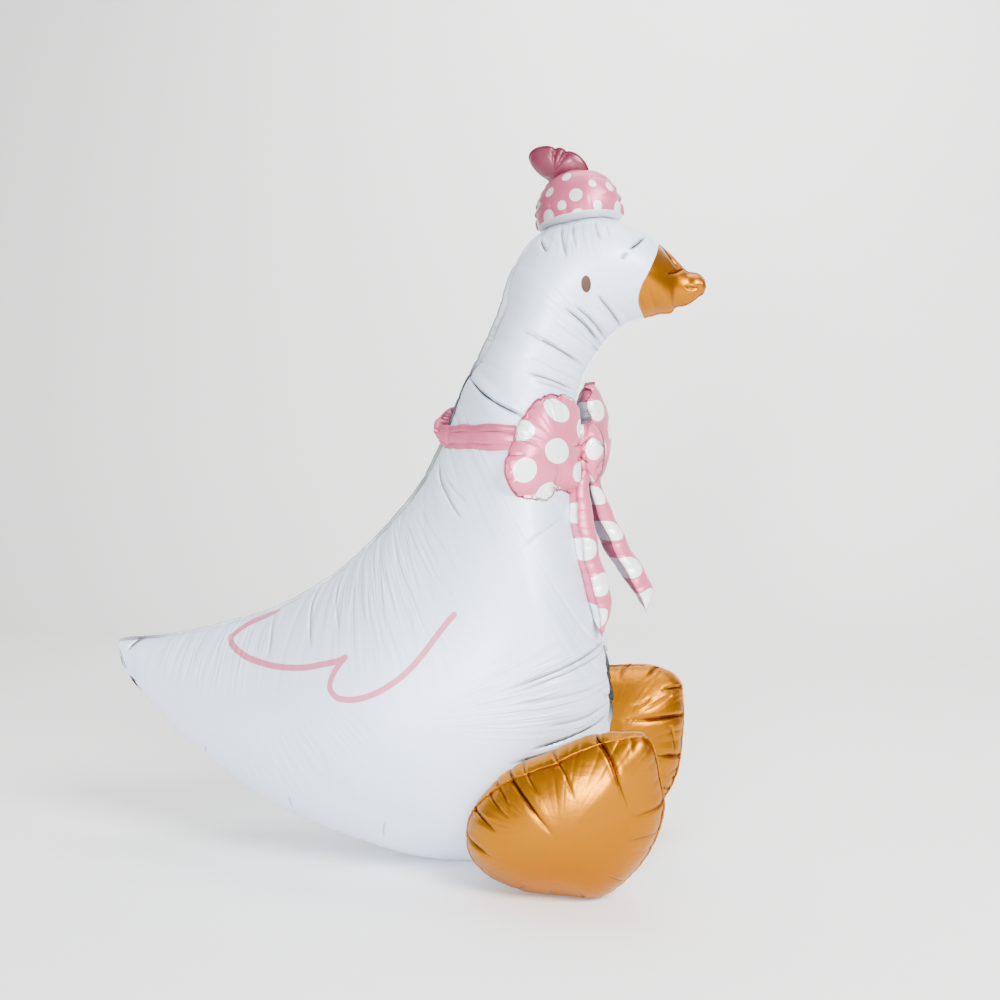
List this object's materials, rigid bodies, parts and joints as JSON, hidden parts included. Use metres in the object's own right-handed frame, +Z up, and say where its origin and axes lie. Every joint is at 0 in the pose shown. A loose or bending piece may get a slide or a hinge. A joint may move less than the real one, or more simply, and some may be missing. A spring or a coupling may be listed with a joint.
{
  "type": "duck foil balloon",
  "caption": "Standing foil balloon in the shape of a duck, white with a gold beak and feet, a dotted pink neck bow with tails and a small dotted hat",
  "frame": {"origin": "middle of the flat patch under the belly, on the floor", "axes": "+X towards the beak, +Y to the duck's own left, +Z up"},
  "size_m": [0.7, 0.3383, 0.7989],
  "materials": {
    "white_foil": "pearl white satin foil",
    "gold_foil": "satin gold foil",
    "pink_foil": "satin pink foil with white dots"
  },
  "bodies": {
    "root": {"body": "white_foil", "right_foot": "gold_foil", "left_foot": "gold_foil", "neck_bow": "pink_foil", "hat": "pink_foil"}
  },
  "joints": []
}
